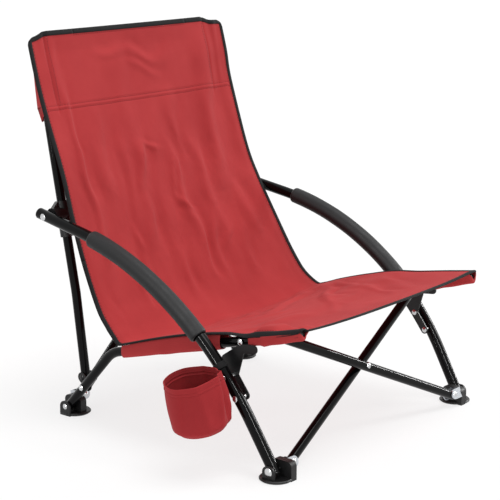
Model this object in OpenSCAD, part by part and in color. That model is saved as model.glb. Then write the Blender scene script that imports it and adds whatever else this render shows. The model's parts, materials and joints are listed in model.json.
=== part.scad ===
/* [Tubes] */
// Outside diameter of the arm tubes
arm_tube_d = 19; // [16:0.5:20]
// Outside diameter of the seat rails and back tubes
rail_tube_d = 16; // [14:0.5:17]
// Outside diameter of the cross tubes
cross_tube_d = 16; // [13:0.5:17]
// Wall thickness of every tube
tube_wall = 1.2; // [1:0.1:1.6]
// Length of the plugs that go into the tubes' ends
plug_len = 12; // [10:0.5:14]
// Swell of a tube's wall at its bends
bend_swell = 0.05; // [0.03:0.01:0.07]

/* [Frame layout] */
// Half the distance between the two arm tubes at their pivots
arm_half_w = 260; // [248:1:280]
// Distance between an arm tube's centre line and its seat rail's centre line
arm_to_rail = 20; // [19:0.5:23]
// Distance between a seat rail's centre line and its back tube's centre line
rail_to_back = 18; // [17.5:0.5:20]
// Distance from the front foot pivots back to the rear foot pivots
foot_span = 473; // [460:1:486]
// Height of the front foot pivots above the floor
arm_pin_h = 16; // [15:0.5:18]
// Height of the rear foot pivots above the floor
rail_pin_h = 16; // [15:0.5:18]

/* [Arm tube] */
// Straight length of the front leg from its pivot to the start of the curve
arm_leg_len = 77; // [65:1:90]
// Rise angle of the front leg
arm_leg_angle = 59.5; // [57:0.5:62]
// Radius of the arm curve
arm_bend_r = 526; // [500:1:560]
// Rise angle of the rear stretch of the arm
arm_rear_angle = 10.2; // [8:0.2:12]
// Straight length from the end of the curve to the rear pivot
arm_rear_len = 97; // [85:1:110]
// Outward lean of the arm's plane
arm_lean = 7.5; // [5:0.5:9]
// Length of arm that stands past its rear pivot
arm_tail = 18; // [14:0.5:24]
// Outside diameter of the foam grip
grip_d = 29; // [26:0.5:32]
// Tangent angle of the arm where the grip starts
grip_start_angle = 42; // [38:0.5:45]
// Tangent angle of the arm where the grip ends
grip_end_angle = 12.5; // [11:0.5:16]

/* [Seat rail] */
// Length of the rear leg from its pivot to the corner of the rail
rail_leg_len = 158; // [148:1:170]
// Lean of the rear leg from the floor, measured at the front
rail_leg_angle = 133; // [130:0.5:136]
// Slope of the rail, rising to the front
rail_slope = 14; // [12:0.5:16]
// Length of the rail from its corner to its front end
rail_len = 412; // [400:1:425]
// Radius of the rail's bend
rail_bend_r = 60; // [50:1:80]
// Length of tube past a foot's pivot
foot_tail = 6; // [5:0.5:7]

/* [Back tube] */
// Distance of the back pivot along the rear leg from the foot pivot
back_pin_along = 55; // [50:1:62]
// Distance of the back pivot above the rear leg's centre line
back_pin_rise = 18.6; // [18:0.2:21]
// Lean of the upper back from vertical
back_lean = 11; // [9:0.5:13]
// Length of back tube from its bend up to the arm hub at rest
back_low_len = 138; // [125:1:150]
// Length of back tube above the arm hub at rest
back_top_len = 296; // [280:1:310]
// Radius of the back tube's bend
back_bend_r = 160; // [120:5:200]
// Length of back tube below its lower pivot
back_tail = 10; // [8:0.5:12]

/* [Cross tubes] */
// Distance of the front cross's lower pivots inside the foot pivots
front_cross_low_in = 42; // [39:0.5:46]
// Distance of the front cross's upper ends inside the seat rails
front_cross_top_in = 26; // [25:0.5:30]
// Distance of the front cross's lower pivots ahead of the foot pivot
front_cross_ahead = 6; // [4:0.5:8]
// Height of the front cross's lower pivots
front_cross_pin_h = 20; // [19:0.5:23]
// Distance of the front cross's upper ends along the seat rail from its corner
front_cross_along = 321; // [310:1:330]
// Distance of the front cross's upper ends above the rail's centre line
front_cross_rise = 3; // [1:0.5:4]
// Distance of the rear cross's pivots inside the back tubes
rear_cross_in = 21; // [20:0.5:26]
// Height of the rear cross's lower pivots
rear_cross_pin_h = 27; // [25:0.5:30]
// Distance of the rear cross's upper ends behind the arm pivot
rear_cross_back = 15; // [12:0.5:18]
// Distance of the rear cross's upper ends below the arm pivot
rear_cross_drop = 13; // [8:0.5:18]
// Gap between two cross tubes where they pass
cross_gap = 1.2; // [0.8:0.1:2]
// Length of cross tube past its end pivots
cross_tail = 5; // [5:0.5:6]

/* [Feet] */
// Diameter of the foot pads
foot_d = 54; // [50:1:60]
// Distance of the front pads' middles inside the foot pivots
front_pad_in = 6; // [4:0.5:8]
// Distance of the rear pads' middles inside the foot pivots
rear_pad_in = 14; // [12:0.5:16]
// Height of the foot pad's rim
foot_rim_h = 5; // [4:0.5:7]
// Thickness of a foot's outer ear
foot_ear = 3; // [2.5:0.5:4]
// Height of the foot's block above the floor
foot_block_h = 31; // [28:0.5:34]
// Thickness of the foot's block between the tube and the cross bracket
foot_block_t = 13.2; // [12:0.2:14]
// Depth of the foot's outer ear, front to back
foot_ear_depth = 24; // [20:1:28]

/* [Hub] */
// Wall of the sliding hub's collar
hub_wall = 3; // [2.6:0.2:3.2]
// Length of the collar along the back tube
hub_len = 62; // [52:1:70]
// Length of the collar above the arm pivot
hub_above = 22; // [18:1:26]
// Diameter of the hub's arm boss
hub_boss_d = 25; // [22:1:28]
// Thickness of the hub's cross lug
hub_lug_t = 4; // [3:0.5:5]

/* [Steel brackets] */
// Sheet thickness of the pressed brackets
sheet = 2; // [1.5:0.1:2.2]
// Diameter of the pivot rivets' shanks
rivet_d = 6; // [5:0.5:7]
// Diameter of the rivets' heads
rivet_head_d = 10; // [9:0.5:11]
// Thickness of the rivets' heads
rivet_head_h = 2; // [1.5:0.1:2.4]
// Diameter of the heads that show outside the arms
arm_rivet_head_d = 14; // [12:0.5:16]
// Half height of the cross brackets' ears
ear_r = 9; // [8:0.5:10]
// Diameter of the catch's spacers on the arm
catch_pin_d = 8; // [7:0.5:9]
// Arm's tangent angle at the catch's lower rivet
catch_low_angle = 54.5; // [53.5:0.5:56]
// Arm's tangent angle at the catch's upper rivet
catch_high_angle = 50.5; // [50:0.1:51.5]
// Arm's tangent angle at the catch's rear corner
catch_rear_angle = 47.3; // [47:0.1:49]
// Distance of the catch's stud along the rail from the rail's corner
catch_along = 298; // [292:1:304]
// Half height of the catch's jaw under the stud
catch_jaw_r = 7; // [6:0.5:8]
// Length of the catch's jaw ahead of the stud
catch_jaw_len = 25; // [18:1:30]
// Length of the cross tabs' plates on the seat rails
tab_len = 24; // [20:1:28]
// Width of the cross tabs' plates
tab_w = 14; // [12:0.5:15]
// Distance of a cross tab's rivet ahead of its cross tube
tab_ahead = 17; // [16:0.5:20]

/* [Sling] */
// Reach of the sling past the seat rails' centre lines
sling_over = 9; // [4:0.5:14]
// Thickness of the fabric panel's solid
sling_t = 2.5; // [2:0.1:3]
// Height of the sling's surface above the seat rail's centre line
sling_rise = 17; // [16.5:0.5:19]
// Distance of the crease between seat and back along the rail from its corner
sling_crease_along = 45; // [35:1:60]
// Height along the back tube's upper stretch where the sling meets it
sling_meet_along = 262; // [245:1:280]
// Reach of the sling's curve above the crease
sling_pull = 80; // [60:1:95]
// Slope at which the sling comes to the back tubes
sling_meet_angle = 61; // [58:1:66]

/* [Cup holder] */
// Outside diameter of the cup holder
cup_d = 92; // [84:1:100]
// Height of the cup holder
cup_h = 104; // [90:1:120]
// Thickness of the cup holder's fabric
cup_wall = 3; // [2.5:0.5:4]
// Arm's tangent angle at the strap of the cup holder
strap_angle = 47.6; // [46.5:0.1:48.5]
// Width of the cup holder's strap
strap_w = 20; // [16:1:24]
// Thickness of the cup holder's strap
strap_t = 2.5; // [2:0.1:3]
// Height of the cup's middle above the floor
cup_z = 116; // [110:1:122]

/* [Clearances] */
// Radial running clearance of pivot rivets in the moving part
pin_fit = 0.08; // [0.05:0.01:0.1]
// Side gap between parts that turn against each other
side_gap = 0.3; // [0.25:0.05:0.4]
// Side play beside the arm tube, whose plane leans
lean_play = 1.3; // [1.2:0.1:1.5]
// Play between a rear cross tube and its hub's lug, which tilts as the chair folds
lug_play = 1.6; // [1.5:0.1:2]
// Radial clearance of the hub on the back tube
slide_fit = 0.1; // [0.06:0.01:0.1]
// Gap between soft pieces or stops and what they rest on
rest_gap = 0.3; // [0.25:0.05:0.4]
// Radial clearance of grips and plugs on their tubes
grip_fit = 0.1; // [0.05:0.01:0.15]

/* [Hidden] */
$fn = 48;

function dir(a) = [cos(a), sin(a)];
function norm_of(a) = [-sin(a), cos(a)];

rail_half_w = arm_half_w - arm_to_rail;
back_half_w = rail_half_w - rail_to_back;
front_cross_low_w = arm_half_w - front_cross_low_in;
front_cross_top_w = rail_half_w - front_cross_top_in;
rear_cross_w = back_half_w - rear_cross_in;
sling_half_w = rail_half_w + sling_over;

// Side view points, as [y, z]
foot_f = [0, arm_pin_h];
foot_r = [foot_span, rail_pin_h];
arm_p1 = foot_f + arm_leg_len*dir(arm_leg_angle);
arm_p2 = arm_p1 + arm_bend_r*(norm_of(arm_rear_angle) - norm_of(arm_leg_angle));
hub_p = arm_p2 + arm_rear_len*dir(arm_rear_angle);
rail_dir = 180 - rail_slope;
rail_corner = foot_r + rail_leg_len*dir(rail_leg_angle);
rail_front = rail_corner + rail_len*dir(rail_dir);
back_pin = foot_r + back_pin_along*dir(rail_leg_angle) - back_pin_rise*norm_of(rail_leg_angle);
back_dir = 90 - back_lean;
back_corner = hub_p - back_low_len*dir(back_dir);
back_top = hub_p + back_top_len*dir(back_dir);
back_low_dir = atan2(back_corner[1] - back_pin[1], back_corner[0] - back_pin[0]);
cross_f0 = [-front_cross_ahead, front_cross_pin_h];
cross_f1 = rail_corner + front_cross_along*dir(rail_dir) - front_cross_rise*norm_of(rail_dir);
cross_r0 = [foot_span, rear_cross_pin_h];
cross_r1 = hub_p + [rear_cross_back, -rear_cross_drop];

// The arm's plane turns about its chord: side view point and width of a point drawn in it
arm_chord = hub_p - foot_f;
arm_chord_a = atan2(arm_chord[1], arm_chord[0]);
function off_chord(p) = (p - foot_f)*norm_of(arm_chord_a);
function lean_yz(p) = p - (1 - cos(arm_lean))*off_chord(p)*norm_of(arm_chord_a);
function lean_x(p) = arm_half_w + sin(arm_lean)*off_chord(p);
function arm_at(a) = arm_p1 + arm_bend_r*(norm_of(a) - norm_of(arm_leg_angle));
grip_mid_angle = max(grip_end_angle, min(grip_start_angle, arm_chord_a));

bend_lap = tube_wall/3;
cross_off = (cross_tube_d + cross_gap)/2;
front_lean = 90 - atan2(cross_f1[1] - cross_f0[1], cross_f1[0] - cross_f0[0]);
rear_lean = 90 - atan2(cross_r1[1] - cross_r0[1], cross_r1[0] - cross_r0[0]);
front_v = norm(cross_f1 - cross_f0);
rear_v = norm(cross_r1 - cross_r0);

// Overall box, for the datum at the middle of the footprint
grip_x = lean_x(arm_at(grip_mid_angle));
cup_x = lean_x(arm_at(strap_angle)) + arm_tube_d/2 + strap_t + grip_fit + rest_gap + cup_d/2;
datum_x = (grip_x + grip_d/2 - cup_x - cup_d/2)/2;
datum_y = (back_top[0] + 6 + rail_front[0] - 8)/2;

module place() translate([-datum_x, -datum_y, 0]) children();
module side(s) place() if (s < 0) mirror([1, 0, 0]) children(); else children();
// Stands a drawing of the side view, x to y and y to z, at width x
module at_width(x, p) translate([x, p[0], p[1]]) rotate([90, 0, 90]) children();

// A run of tube in the drawing plane from [length] and [radius, turn] pieces.
// A bend's wall swells a little and the straights run into it
module tube_piece(s, d, w, before, after) {
    if (len(s) == 1)
        translate([-before, 0, 0]) rotate([0, 90, 0]) linear_extrude(before + s[0] + after) ring(d, w);
    else
        translate([0, s[0]*sign(s[1]), 0])
            rotate([0, 0, s[1] > 0 ? -90 : 90 + s[1]])
                rotate_extrude(angle = abs(s[1])) translate([s[0], 0])
                    ring(d + 2*bend_swell, w + 2*bend_swell);
}
module ring(d, w) difference() {
    circle(d = d);
    if (w > 0) circle(d = d - 2*w);
}
module tube_run(segs, d, w, i = 0) if (i < len(segs)) {
    s = segs[i];
    tube_piece(s, d, w, i > 0 ? bend_lap : 0, i < len(segs) - 1 ? bend_lap : 0);
    if (len(s) == 1)
        translate([s[0], 0, 0]) tube_run(segs, d, w, i + 1);
    else
        translate([0, s[0]*sign(s[1]), 0]) rotate([0, 0, s[1]])
            translate([0, -s[0]*sign(s[1]), 0]) tube_run(segs, d, w, i + 1);
}
// Shank with a domed head at its far end, along +Z from 0
module rivet(h, d = rivet_d, head = rivet_head_d, low_head = true) {
    cylinder(d = d, h = h);
    translate([0, 0, h]) rivet_head(head);
    if (low_head) mirror([0, 0, 1]) rivet_head(head);
}
module rivet_head(d = rivet_head_d) rotate_extrude() intersection() {
    translate([0, rivet_head_h - d*d/8/rivet_head_h - rivet_head_h/2])
        circle(r = d*d/8/rivet_head_h + rivet_head_h/2, $fn = 96);
    square([d/2, rivet_head_h]);
}
module bore(d, l) cylinder(d = d, h = l, center = true);
// Plane of a cross: x across, y along its normal to the rear, z up the plane
module cross_plane(p, lean) translate([0, p[0], p[1]]) rotate([-lean, 0, 0]) children();
module rivet_bore(l) bore(rivet_d + 2*pin_fit, l);
// Along world X at a side view point
module along_x(x, p) translate([x, p[0], p[1]]) rotate([0, 90, 0]) children();
// Cap with a plug that goes into a tube's end, the end at 0 and outward along +X
module end_cap(d, cap) rotate([0, 90, 0]) rotate_extrude() difference() {
    union() {
        translate([0, -plug_len]) square([d/2 - tube_wall - grip_fit, plug_len + 0.5]);
        intersection() {
            translate([0, cap - d]) circle(r = d, $fn = 96);
            square([d/2, cap]);
        }
    }
    translate([0, -plug_len - 1]) square([d/2 - tube_wall - 2, plug_len - 4]);
}

module arm_plane() translate([arm_half_w, 0, arm_pin_h])
    rotate(a = arm_lean, v = [0, cos(arm_chord_a), sin(arm_chord_a)]) rotate([90, 0, 90]) children();
arm_bend_c = arm_p1 - foot_f - arm_bend_r*norm_of(arm_leg_angle);

module arm_tube(s) color("#151517") side(s) difference() {
    arm_plane() rotate(arm_leg_angle) translate([-foot_tail, 0, 0])
        tube_run([[foot_tail + arm_leg_len], [arm_bend_r, arm_rear_angle - arm_leg_angle],
                  [arm_rear_len + arm_tail]], arm_tube_d, tube_wall);
    along_x(arm_half_w, foot_f) rivet_bore(3*arm_tube_d);
    along_x(arm_half_w, hub_p) rivet_bore(3*arm_tube_d);
    for (a = [catch_low_angle, catch_high_angle]) along_x(arm_half_w, lean_yz(arm_at(a))) rivet_bore(3*arm_tube_d);
}
module arm_grip(s) color("#26272a") side(s)
    arm_plane() translate(arm_bend_c) rotate(grip_end_angle + 90)
        rotate_extrude(angle = grip_start_angle - grip_end_angle, $fn = 120) translate([arm_bend_r, 0])
            ring(grip_d, grip_d/2 - arm_tube_d/2 - grip_fit);
module arm_end_plug(s) color("#111112") side(s)
    arm_plane() translate(hub_p - foot_f) rotate(arm_rear_angle) translate([arm_tail, 0, 0])
        end_cap(arm_tube_d, 3);

rail_turn = rail_dir - rail_leg_angle;
rail_cut = rail_bend_r*tan(rail_turn/2);
catch_p = rail_corner + catch_along*dir(rail_dir);
saddle_p = back_pin + back_pin_rise*norm_of(rail_leg_angle);
tab_p = [for (s = [-1, 1]) rail_corner + (front_cross_along + tab_ahead - s*cross_off)*dir(rail_dir)];
module seat_rail(s) color("#151517") side(s) difference() {
    at_width(rail_half_w, foot_r) rotate(rail_leg_angle) translate([-foot_tail, 0, 0])
        tube_run([[foot_tail + rail_leg_len - rail_cut], [rail_bend_r, rail_turn],
                  [rail_len - rail_cut]], rail_tube_d, tube_wall);
    for (p = [foot_r, catch_p, saddle_p, tab_p[max(s, 0)]]) along_x(rail_half_w, p) rivet_bore(2*rail_tube_d);
}
module rail_end_cap(s) color("#111112") side(s)
    at_width(rail_half_w, rail_front) rotate(rail_dir) end_cap(rail_tube_d, 4);

back_len_low = norm(back_corner - back_pin);
back_turn = back_dir - back_low_dir;
back_cut = back_bend_r*tan(abs(back_turn)/2);
module back_tube(s) color("#151517") side(s) difference() {
    at_width(back_half_w, back_pin) rotate(back_low_dir) translate([-back_tail, 0, 0])
        tube_run([[back_tail + back_len_low - back_cut], [back_bend_r, back_turn],
                  [back_low_len + back_top_len - back_cut]], rail_tube_d, tube_wall);
    along_x(back_half_w, back_pin) rivet_bore(2*rail_tube_d);
}
module back_top_cap(s) color("#111112") side(s)
    at_width(back_half_w, back_top) rotate(back_dir) end_cap(rail_tube_d, 4);

// Cross tube from the foot on side s, with its three rivet holes
function cross_tilt(low, top, v) = atan2(v, low + top);
function cross_len(low, top, v) = norm([low + top, v]);
module on_cross(s, low, top, v, share) translate([s*low, -s*cross_off, 0])
    rotate([0, -s*(90 - cross_tilt(low, top, v)), 0])
        translate([0, 0, share*cross_len(low, top, v)]) children();
module cross_tube(s, low, top, v) on_cross(s, low, top, v, 0) difference() {
    translate([0, 0, -cross_tail]) linear_extrude(cross_len(low, top, v) + 2*cross_tail)
        ring(cross_tube_d, tube_wall);
    for (t = [0, low/(low + top), 1]) translate([0, 0, t*cross_len(low, top, v)])
        rotate([90, 0, 0]) rivet_bore(2*cross_tube_d);
}
module front_cross_tube(s) color("#151517") place() cross_plane(cross_f0, front_lean)
    cross_tube(s, front_cross_low_w, front_cross_top_w, front_v);
module rear_cross_tube(s) color("#151517") place() cross_plane(cross_r0, rear_lean)
    cross_tube(s, rear_cross_w, rear_cross_w, rear_v);
// Rivet through one cross tube, its head on the front (-1) or the rear (1)
module tube_rivet(face) rotate([-90*face, 0, 0]) translate([0, 0, -cross_tube_d/2])
    rivet(cross_tube_d, low_head = false);
module front_cross_rivets(s) color("#b9bbbe") place() cross_plane(cross_f0, front_lean) {
    on_cross(s, front_cross_low_w, front_cross_top_w, front_v,
             front_cross_low_w/(front_cross_low_w + front_cross_top_w)) tube_rivet(-s);
    on_cross(s, front_cross_low_w, front_cross_top_w, front_v, 1) tube_rivet(1);
}
module rear_cross_rivets(s) color("#b9bbbe") place() cross_plane(cross_r0, rear_lean)
    on_cross(s, rear_cross_w, rear_cross_w, rear_v, 1) tube_rivet(-1);
module rear_cross_rivet() color("#b9bbbe") place() cross_plane(cross_r0, rear_lean)
    translate([0, 0, rear_v/2]) rotate([90, 0, 0]) translate([0, 0, -cross_off - cross_tube_d/2])
        rivet(2*cross_off + cross_tube_d);

// A foot: round pad, block inside the tube, ear outside it. w is the tube's half width
ear_out = cross_tube_d/2 + side_gap;
foot_half = cross_off + ear_out + sheet + 1;
module foot_pad() rotate_extrude($fn = 96) polygon([[0, 0], [foot_d/2 - 2.5, 0], [foot_d/2, 2],
    [foot_d/2, foot_rim_h - 1.5], [foot_d/2 - 1.5, foot_rim_h], [0, foot_rim_h]]);
module rounded_top(half, h, r) {
    translate([-half, 0]) square([2*half, h - r]);
    translate([-half + r, 0]) square([2*half - 2*r, h]);
    for (y = [-half + r, half - r]) translate([y, h - r]) circle(r);
}
module foot(w, d, play, p, cy, pad_in) difference() {
    union() {
        translate([w - pad_in, p[0], 0]) foot_pad();
        at_width(w - d/2 - play - foot_block_t, [cy, 0]) linear_extrude(foot_block_t)
            rounded_top(foot_half, foot_block_h, 9);
        at_width(w + d/2 + play, [p[0], 0]) linear_extrude(foot_ear)
            rounded_top(foot_ear_depth/2, p[1] + foot_ear_depth/2 - 2, foot_ear_depth/2 - 1);
    }
    along_x(w, p) rivet_bore(6*d);
}
module front_foot(s) color("#161617") side(s)
    foot(arm_half_w, arm_tube_d, lean_play, foot_f, -front_cross_ahead, front_pad_in);
module rear_foot(s) color("#161617") side(s)
    foot(rail_half_w, rail_tube_d, side_gap, foot_r, foot_r[0], rear_pad_in);

// Steel bracket on a foot's block: a web on the block and two ears beside the cross tube
module foot_bracket(s, w, d, play, p, cp, lean, cross_w) {
    face = w - d/2 - play - foot_block_t;
    difference() {
        union() {
            cross_plane(cp, lean) translate([0, -s*cross_off, 0]) {
                translate([face - sheet, -ear_out - sheet, -ear_r])
                    cube([sheet, 2*(ear_out + sheet), 2*ear_r]);
                for (n = [-ear_out - sheet, ear_out]) translate([0, n, 0]) {
                    translate([cross_w, 0, -ear_r]) cube([face - cross_w, sheet, 2*ear_r]);
                    translate([cross_w, sheet, 0]) rotate([90, 0, 0]) cylinder(r = ear_r, h = sheet);
                }
            }
            along_x(face - sheet, p) cylinder(r = ear_r - 1, h = sheet);
        }
        along_x(w, p) rivet_bore(6*d);
        cross_plane(cp, lean) translate([cross_w, 0, 0]) rotate([90, 0, 0]) rivet_bore(6*d);
    }
}
module front_foot_bracket(s) color("#c3c5c8") side(s)
    foot_bracket(s, arm_half_w, arm_tube_d, lean_play, foot_f, cross_f0, front_lean, front_cross_low_w);
module rear_foot_bracket(s) color("#c3c5c8") side(s)
    foot_bracket(s, rail_half_w, rail_tube_d, side_gap, foot_r, cross_r0, rear_lean, rear_cross_w);

// Rivets of a foot: one through the tube, one through the cross bracket
module foot_rivets(s, w, d, play, p, cp, lean, cross_w, head) {
    face = w - d/2 - play - foot_block_t - sheet;
    along_x(face, p) rivet(w + d/2 + play + foot_ear - face, head = head, low_head = false);
    cross_plane(cp, lean) translate([cross_w, -s*cross_off + ear_out + sheet, 0])
        rotate([90, 0, 0]) rivet(2*(ear_out + sheet));
}
module front_foot_rivets(s) color("#b9bbbe") side(s)
    foot_rivets(s, arm_half_w, arm_tube_d, lean_play, foot_f, cross_f0, front_lean,
                front_cross_low_w, arm_rivet_head_d);
module rear_foot_rivets(s) color("#b9bbbe") side(s)
    foot_rivets(s, rail_half_w, rail_tube_d, side_gap, foot_r, cross_r0, rear_lean,
                rear_cross_w, rivet_head_d);

// Catch on the arm's leg: its jaw carries the stud of the seat rail while the chair is open
catch_x = rail_half_w + rail_tube_d/2 + side_gap;
catch_low = lean_yz(arm_at(catch_low_angle));
catch_high = lean_yz(arm_at(catch_high_angle));
catch_rear = lean_yz(arm_at(catch_rear_angle));
catch_jaw = catch_p + (rivet_d/2 + rest_gap + catch_jaw_r)*norm_of(rail_dir);
catch_nose = catch_jaw + catch_jaw_len*dir(rail_dir + 8);
module arm_catch(s) color("#1b1c1e") side(s) difference() {
    at_width(catch_x, [0, 0]) linear_extrude(sheet) {
        hull() for (p = [catch_jaw, catch_nose]) translate(p) circle(catch_jaw_r);
        hull() for (p = [catch_jaw, catch_high, catch_rear]) translate(p) circle(catch_jaw_r);
        hull() for (p = [catch_high, catch_low]) translate(p) circle(catch_jaw_r);
    }
    for (p = [catch_low, catch_high]) along_x(catch_x, p) rivet_bore(4*sheet);
}
module catch_pins(s) color("#b9bbbe") side(s) for (a = [catch_low_angle, catch_high_angle])
    along_x(catch_x, lean_yz(arm_at(a))) {
        rivet(lean_x(arm_at(a)) + arm_tube_d/2 - catch_x + side_gap);
        translate([0, 0, sheet + side_gap/2])
            cylinder(d = catch_pin_d, h = lean_x(arm_at(a)) - arm_tube_d/2 - catch_x - sheet - side_gap);
    }
module rail_rivets(s) color("#b9bbbe") side(s) {
    x0 = rail_half_w - rail_tube_d/2;
    along_x(x0, catch_p) rivet(catch_x + sheet + side_gap - x0, low_head = false);
    along_x(x0 - saddle_t, saddle_p) rivet(rail_tube_d + saddle_t, low_head = false);
    along_x(x0 - sheet, tab_p[max(s, 0)]) rivet(rail_tube_d + sheet, low_head = false);
}

// Angle bracket ahead of the front cross tube's upper end
module cross_tab(s) color("#1b1c1e") side(s) difference() {
    n0 = s*cross_off - ear_out - sheet;
    union() {
        cross_plane(cross_f0, front_lean) translate([0, n0, front_v]) {
            translate([front_cross_top_w, 0, -ear_r])
                cube([rail_half_w - rail_tube_d/2 - front_cross_top_w, sheet, 2*ear_r]);
            translate([front_cross_top_w, sheet, 0]) rotate([90, 0, 0]) cylinder(r = ear_r, h = sheet);
        }
        at_width(rail_half_w - rail_tube_d/2 - sheet, tab_p[max(s, 0)]) rotate(rail_dir)
            translate([-tab_len*2/3, -tab_w/2, 0]) cube([tab_len, tab_w, sheet]);
    }
    along_x(rail_half_w, tab_p[max(s, 0)]) rivet_bore(2*rail_tube_d);
    cross_plane(cross_f0, front_lean) translate([front_cross_top_w, n0, front_v])
        rotate([90, 0, 0]) rivet_bore(4*sheet);
}

// Saddle on the rear leg: two cheeks beside the back tube and a web before it
saddle_t = rail_to_back - rail_tube_d - side_gap;
saddle_in = back_half_w - rail_tube_d/2 - side_gap - sheet;
saddle_out = rail_half_w - rail_tube_d/2;
saddle_web = norm([back_tail, rail_tube_d/2]) + 0.7;
module saddle_plane(x) at_width(x, back_pin) rotate(rail_leg_angle + 90) children();
module back_saddle(s) color("#1b1c1e") side(s) difference() {
    union() {
        saddle_plane(saddle_out - saddle_t) linear_extrude(saddle_t)
            hull() for (x = [0, back_pin_rise]) translate([x, 0]) circle(ear_r);
        saddle_plane(saddle_in) linear_extrude(sheet) {
            circle(ear_r);
            translate([0, -ear_r]) square([saddle_web + sheet, 2*ear_r]);
        }
        saddle_plane(saddle_in) translate([saddle_web, -ear_r, 0])
            cube([sheet, 2*ear_r, saddle_out - saddle_in]);
        saddle_plane(saddle_in) { cylinder(d = rivet_d, h = saddle_out - saddle_in);
            translate([0, 0, saddle_out - saddle_in]) rivet_head();
            mirror([0, 0, 1]) rivet_head(); }
    }
    along_x(saddle_out, saddle_p) rivet_bore(4*sheet);
}

// Hub that slides on the back tube and carries the arm and the rear cross's upper end
lug_out = cross_tube_d/2 + lug_play;
hub_r = rail_tube_d/2 + slide_fit + hub_wall;
hub_face = arm_half_w - arm_tube_d/2 - lean_play;
hub_blind = back_half_w + rail_tube_d/2 + slide_fit + 2;
module hub_axis() at_width(back_half_w, hub_p) rotate(back_dir) children();
module hub(s) color("#161617") side(s) difference() {
    union() {
        hub_axis() translate([hub_above - hub_len, 0, 0]) rotate([0, 90, 0]) cylinder(r = hub_r, h = hub_len);
        along_x(back_half_w, hub_p) cylinder(d = hub_boss_d, h = hub_face - back_half_w);
        hub_axis() rotate([90, 0, 0]) linear_extrude(8, center = true)
            polygon([[0, 0], [hub_above, hub_r - 2], [hub_above, hub_r + 1],
                     [hub_boss_d/2 - 1, hub_face - back_half_w - 3], [0, hub_face - back_half_w - 3]]);
        cross_plane(cross_r0, rear_lean) translate([0, s*cross_off + lug_out, rear_v]) {
            translate([rear_cross_w, 0, -ear_r]) cube([back_half_w - rear_cross_w, hub_lug_t, 2*ear_r]);
            translate([rear_cross_w, hub_lug_t, 0]) rotate([90, 0, 0]) cylinder(r = ear_r, h = hub_lug_t);
            translate([hub_web_x, -s*cross_off - ear_out - rear_cross_back, -ear_r])
                cube([back_half_w - hub_web_x, s*cross_off + lug_out + rear_cross_back + hub_lug_t, 2*ear_r]);
        }
    }
    hub_axis() rotate([0, 90, 0]) bore(rail_tube_d + 2*slide_fit, 3*hub_len);
    along_x(hub_blind, hub_p) cylinder(d = rivet_d + 2*pin_fit, h = hub_face);
    cross_plane(cross_r0, rear_lean) translate([rear_cross_w, s*cross_off + lug_out, rear_v])
        rotate([90, 0, 0]) rivet_bore(3*hub_lug_t);
}
hub_web_x = rear_cross_w + norm([cross_tail, cross_tube_d/2]) + 1;
module hub_rivets(s) color("#b9bbbe") side(s) {
    along_x(hub_blind, hub_p)
        rivet(arm_half_w + arm_tube_d/2 + side_gap - hub_blind, head = arm_rivet_head_d - 2, low_head = false);
    cross_plane(cross_r0, rear_lean) translate([rear_cross_w, s*cross_off + lug_out, rear_v])
        rotate([-90, 0, 0]) rivet(hub_lug_t, low_head = false);
}

// Sling: plain solids with the fabric's outer surface
sling_crease = rail_corner + sling_crease_along*dir(rail_dir) - sling_rise*norm_of(rail_dir);
sling_meet = back_corner + sling_meet_along*dir(back_dir)
    + (rail_tube_d/2 + rest_gap + sling_t)*norm_of(back_dir);
sling_top = sling_meet + (back_low_len + back_top_len + 8 - sling_meet_along)*dir(back_dir);
sling_c1 = sling_crease + [sling_pull, 0];
sling_c2 = sling_meet - 2*sling_pull*dir(sling_meet_angle);
function bez(t) = pow(1 - t, 3)*sling_crease + 3*t*pow(1 - t, 2)*sling_c1
    + 3*t*t*(1 - t)*sling_c2 + t*t*t*sling_meet;
sling_line = concat([for (t = [0.02:0.07:0.93]) bez(t)], [sling_meet, sling_top]);
module sling_back() color("#b3141d") place() at_width(-sling_half_w, [0, 0])
    linear_extrude(2*sling_half_w) polygon(concat(sling_line,
        [for (i = [len(sling_line) - 1:-1:0]) sling_line[i] - sling_t*norm_of(back_dir)]));
module sling_seat() color("#b3141d") place() {
    at_width(-sling_half_w, rail_corner) rotate(rail_dir)
        translate([sling_crease_along, -sling_rise, 0])
            cube([rail_len + 6 - sling_crease_along, sling_t, 2*sling_half_w]);
    for (x = [-rail_half_w - 4, rail_half_w - 4]) at_width(x, rail_corner) rotate(rail_dir)
        translate([sling_crease_along, -sling_rise + sling_t, 0])
            cube([rail_len - 2 - sling_crease_along, sling_rise - sling_t - rail_tube_d/2 - rest_gap, 8]);
}

// Cup holder on the left arm
strap_p = lean_yz(arm_at(strap_angle));
module cup_holder() color("#b23138") place()
    translate([-cup_x, strap_p[0] - 8, cup_z - cup_h/2]) difference() {
        cylinder(d = cup_d, h = cup_h, $fn = 72);
        translate([0, 0, cup_wall]) cylinder(d = cup_d - 2*cup_wall, h = cup_h, $fn = 72);
    }
module cup_strap() color("#151516") side(-1) arm_plane() translate(arm_bend_c)
    rotate(strap_angle + 90 - strap_w/arm_bend_r*90/PI)
        rotate_extrude(angle = strap_w/arm_bend_r*180/PI) translate([arm_bend_r, 0])
            ring(arm_tube_d + 2*grip_fit + 2*strap_t, strap_t);

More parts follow.
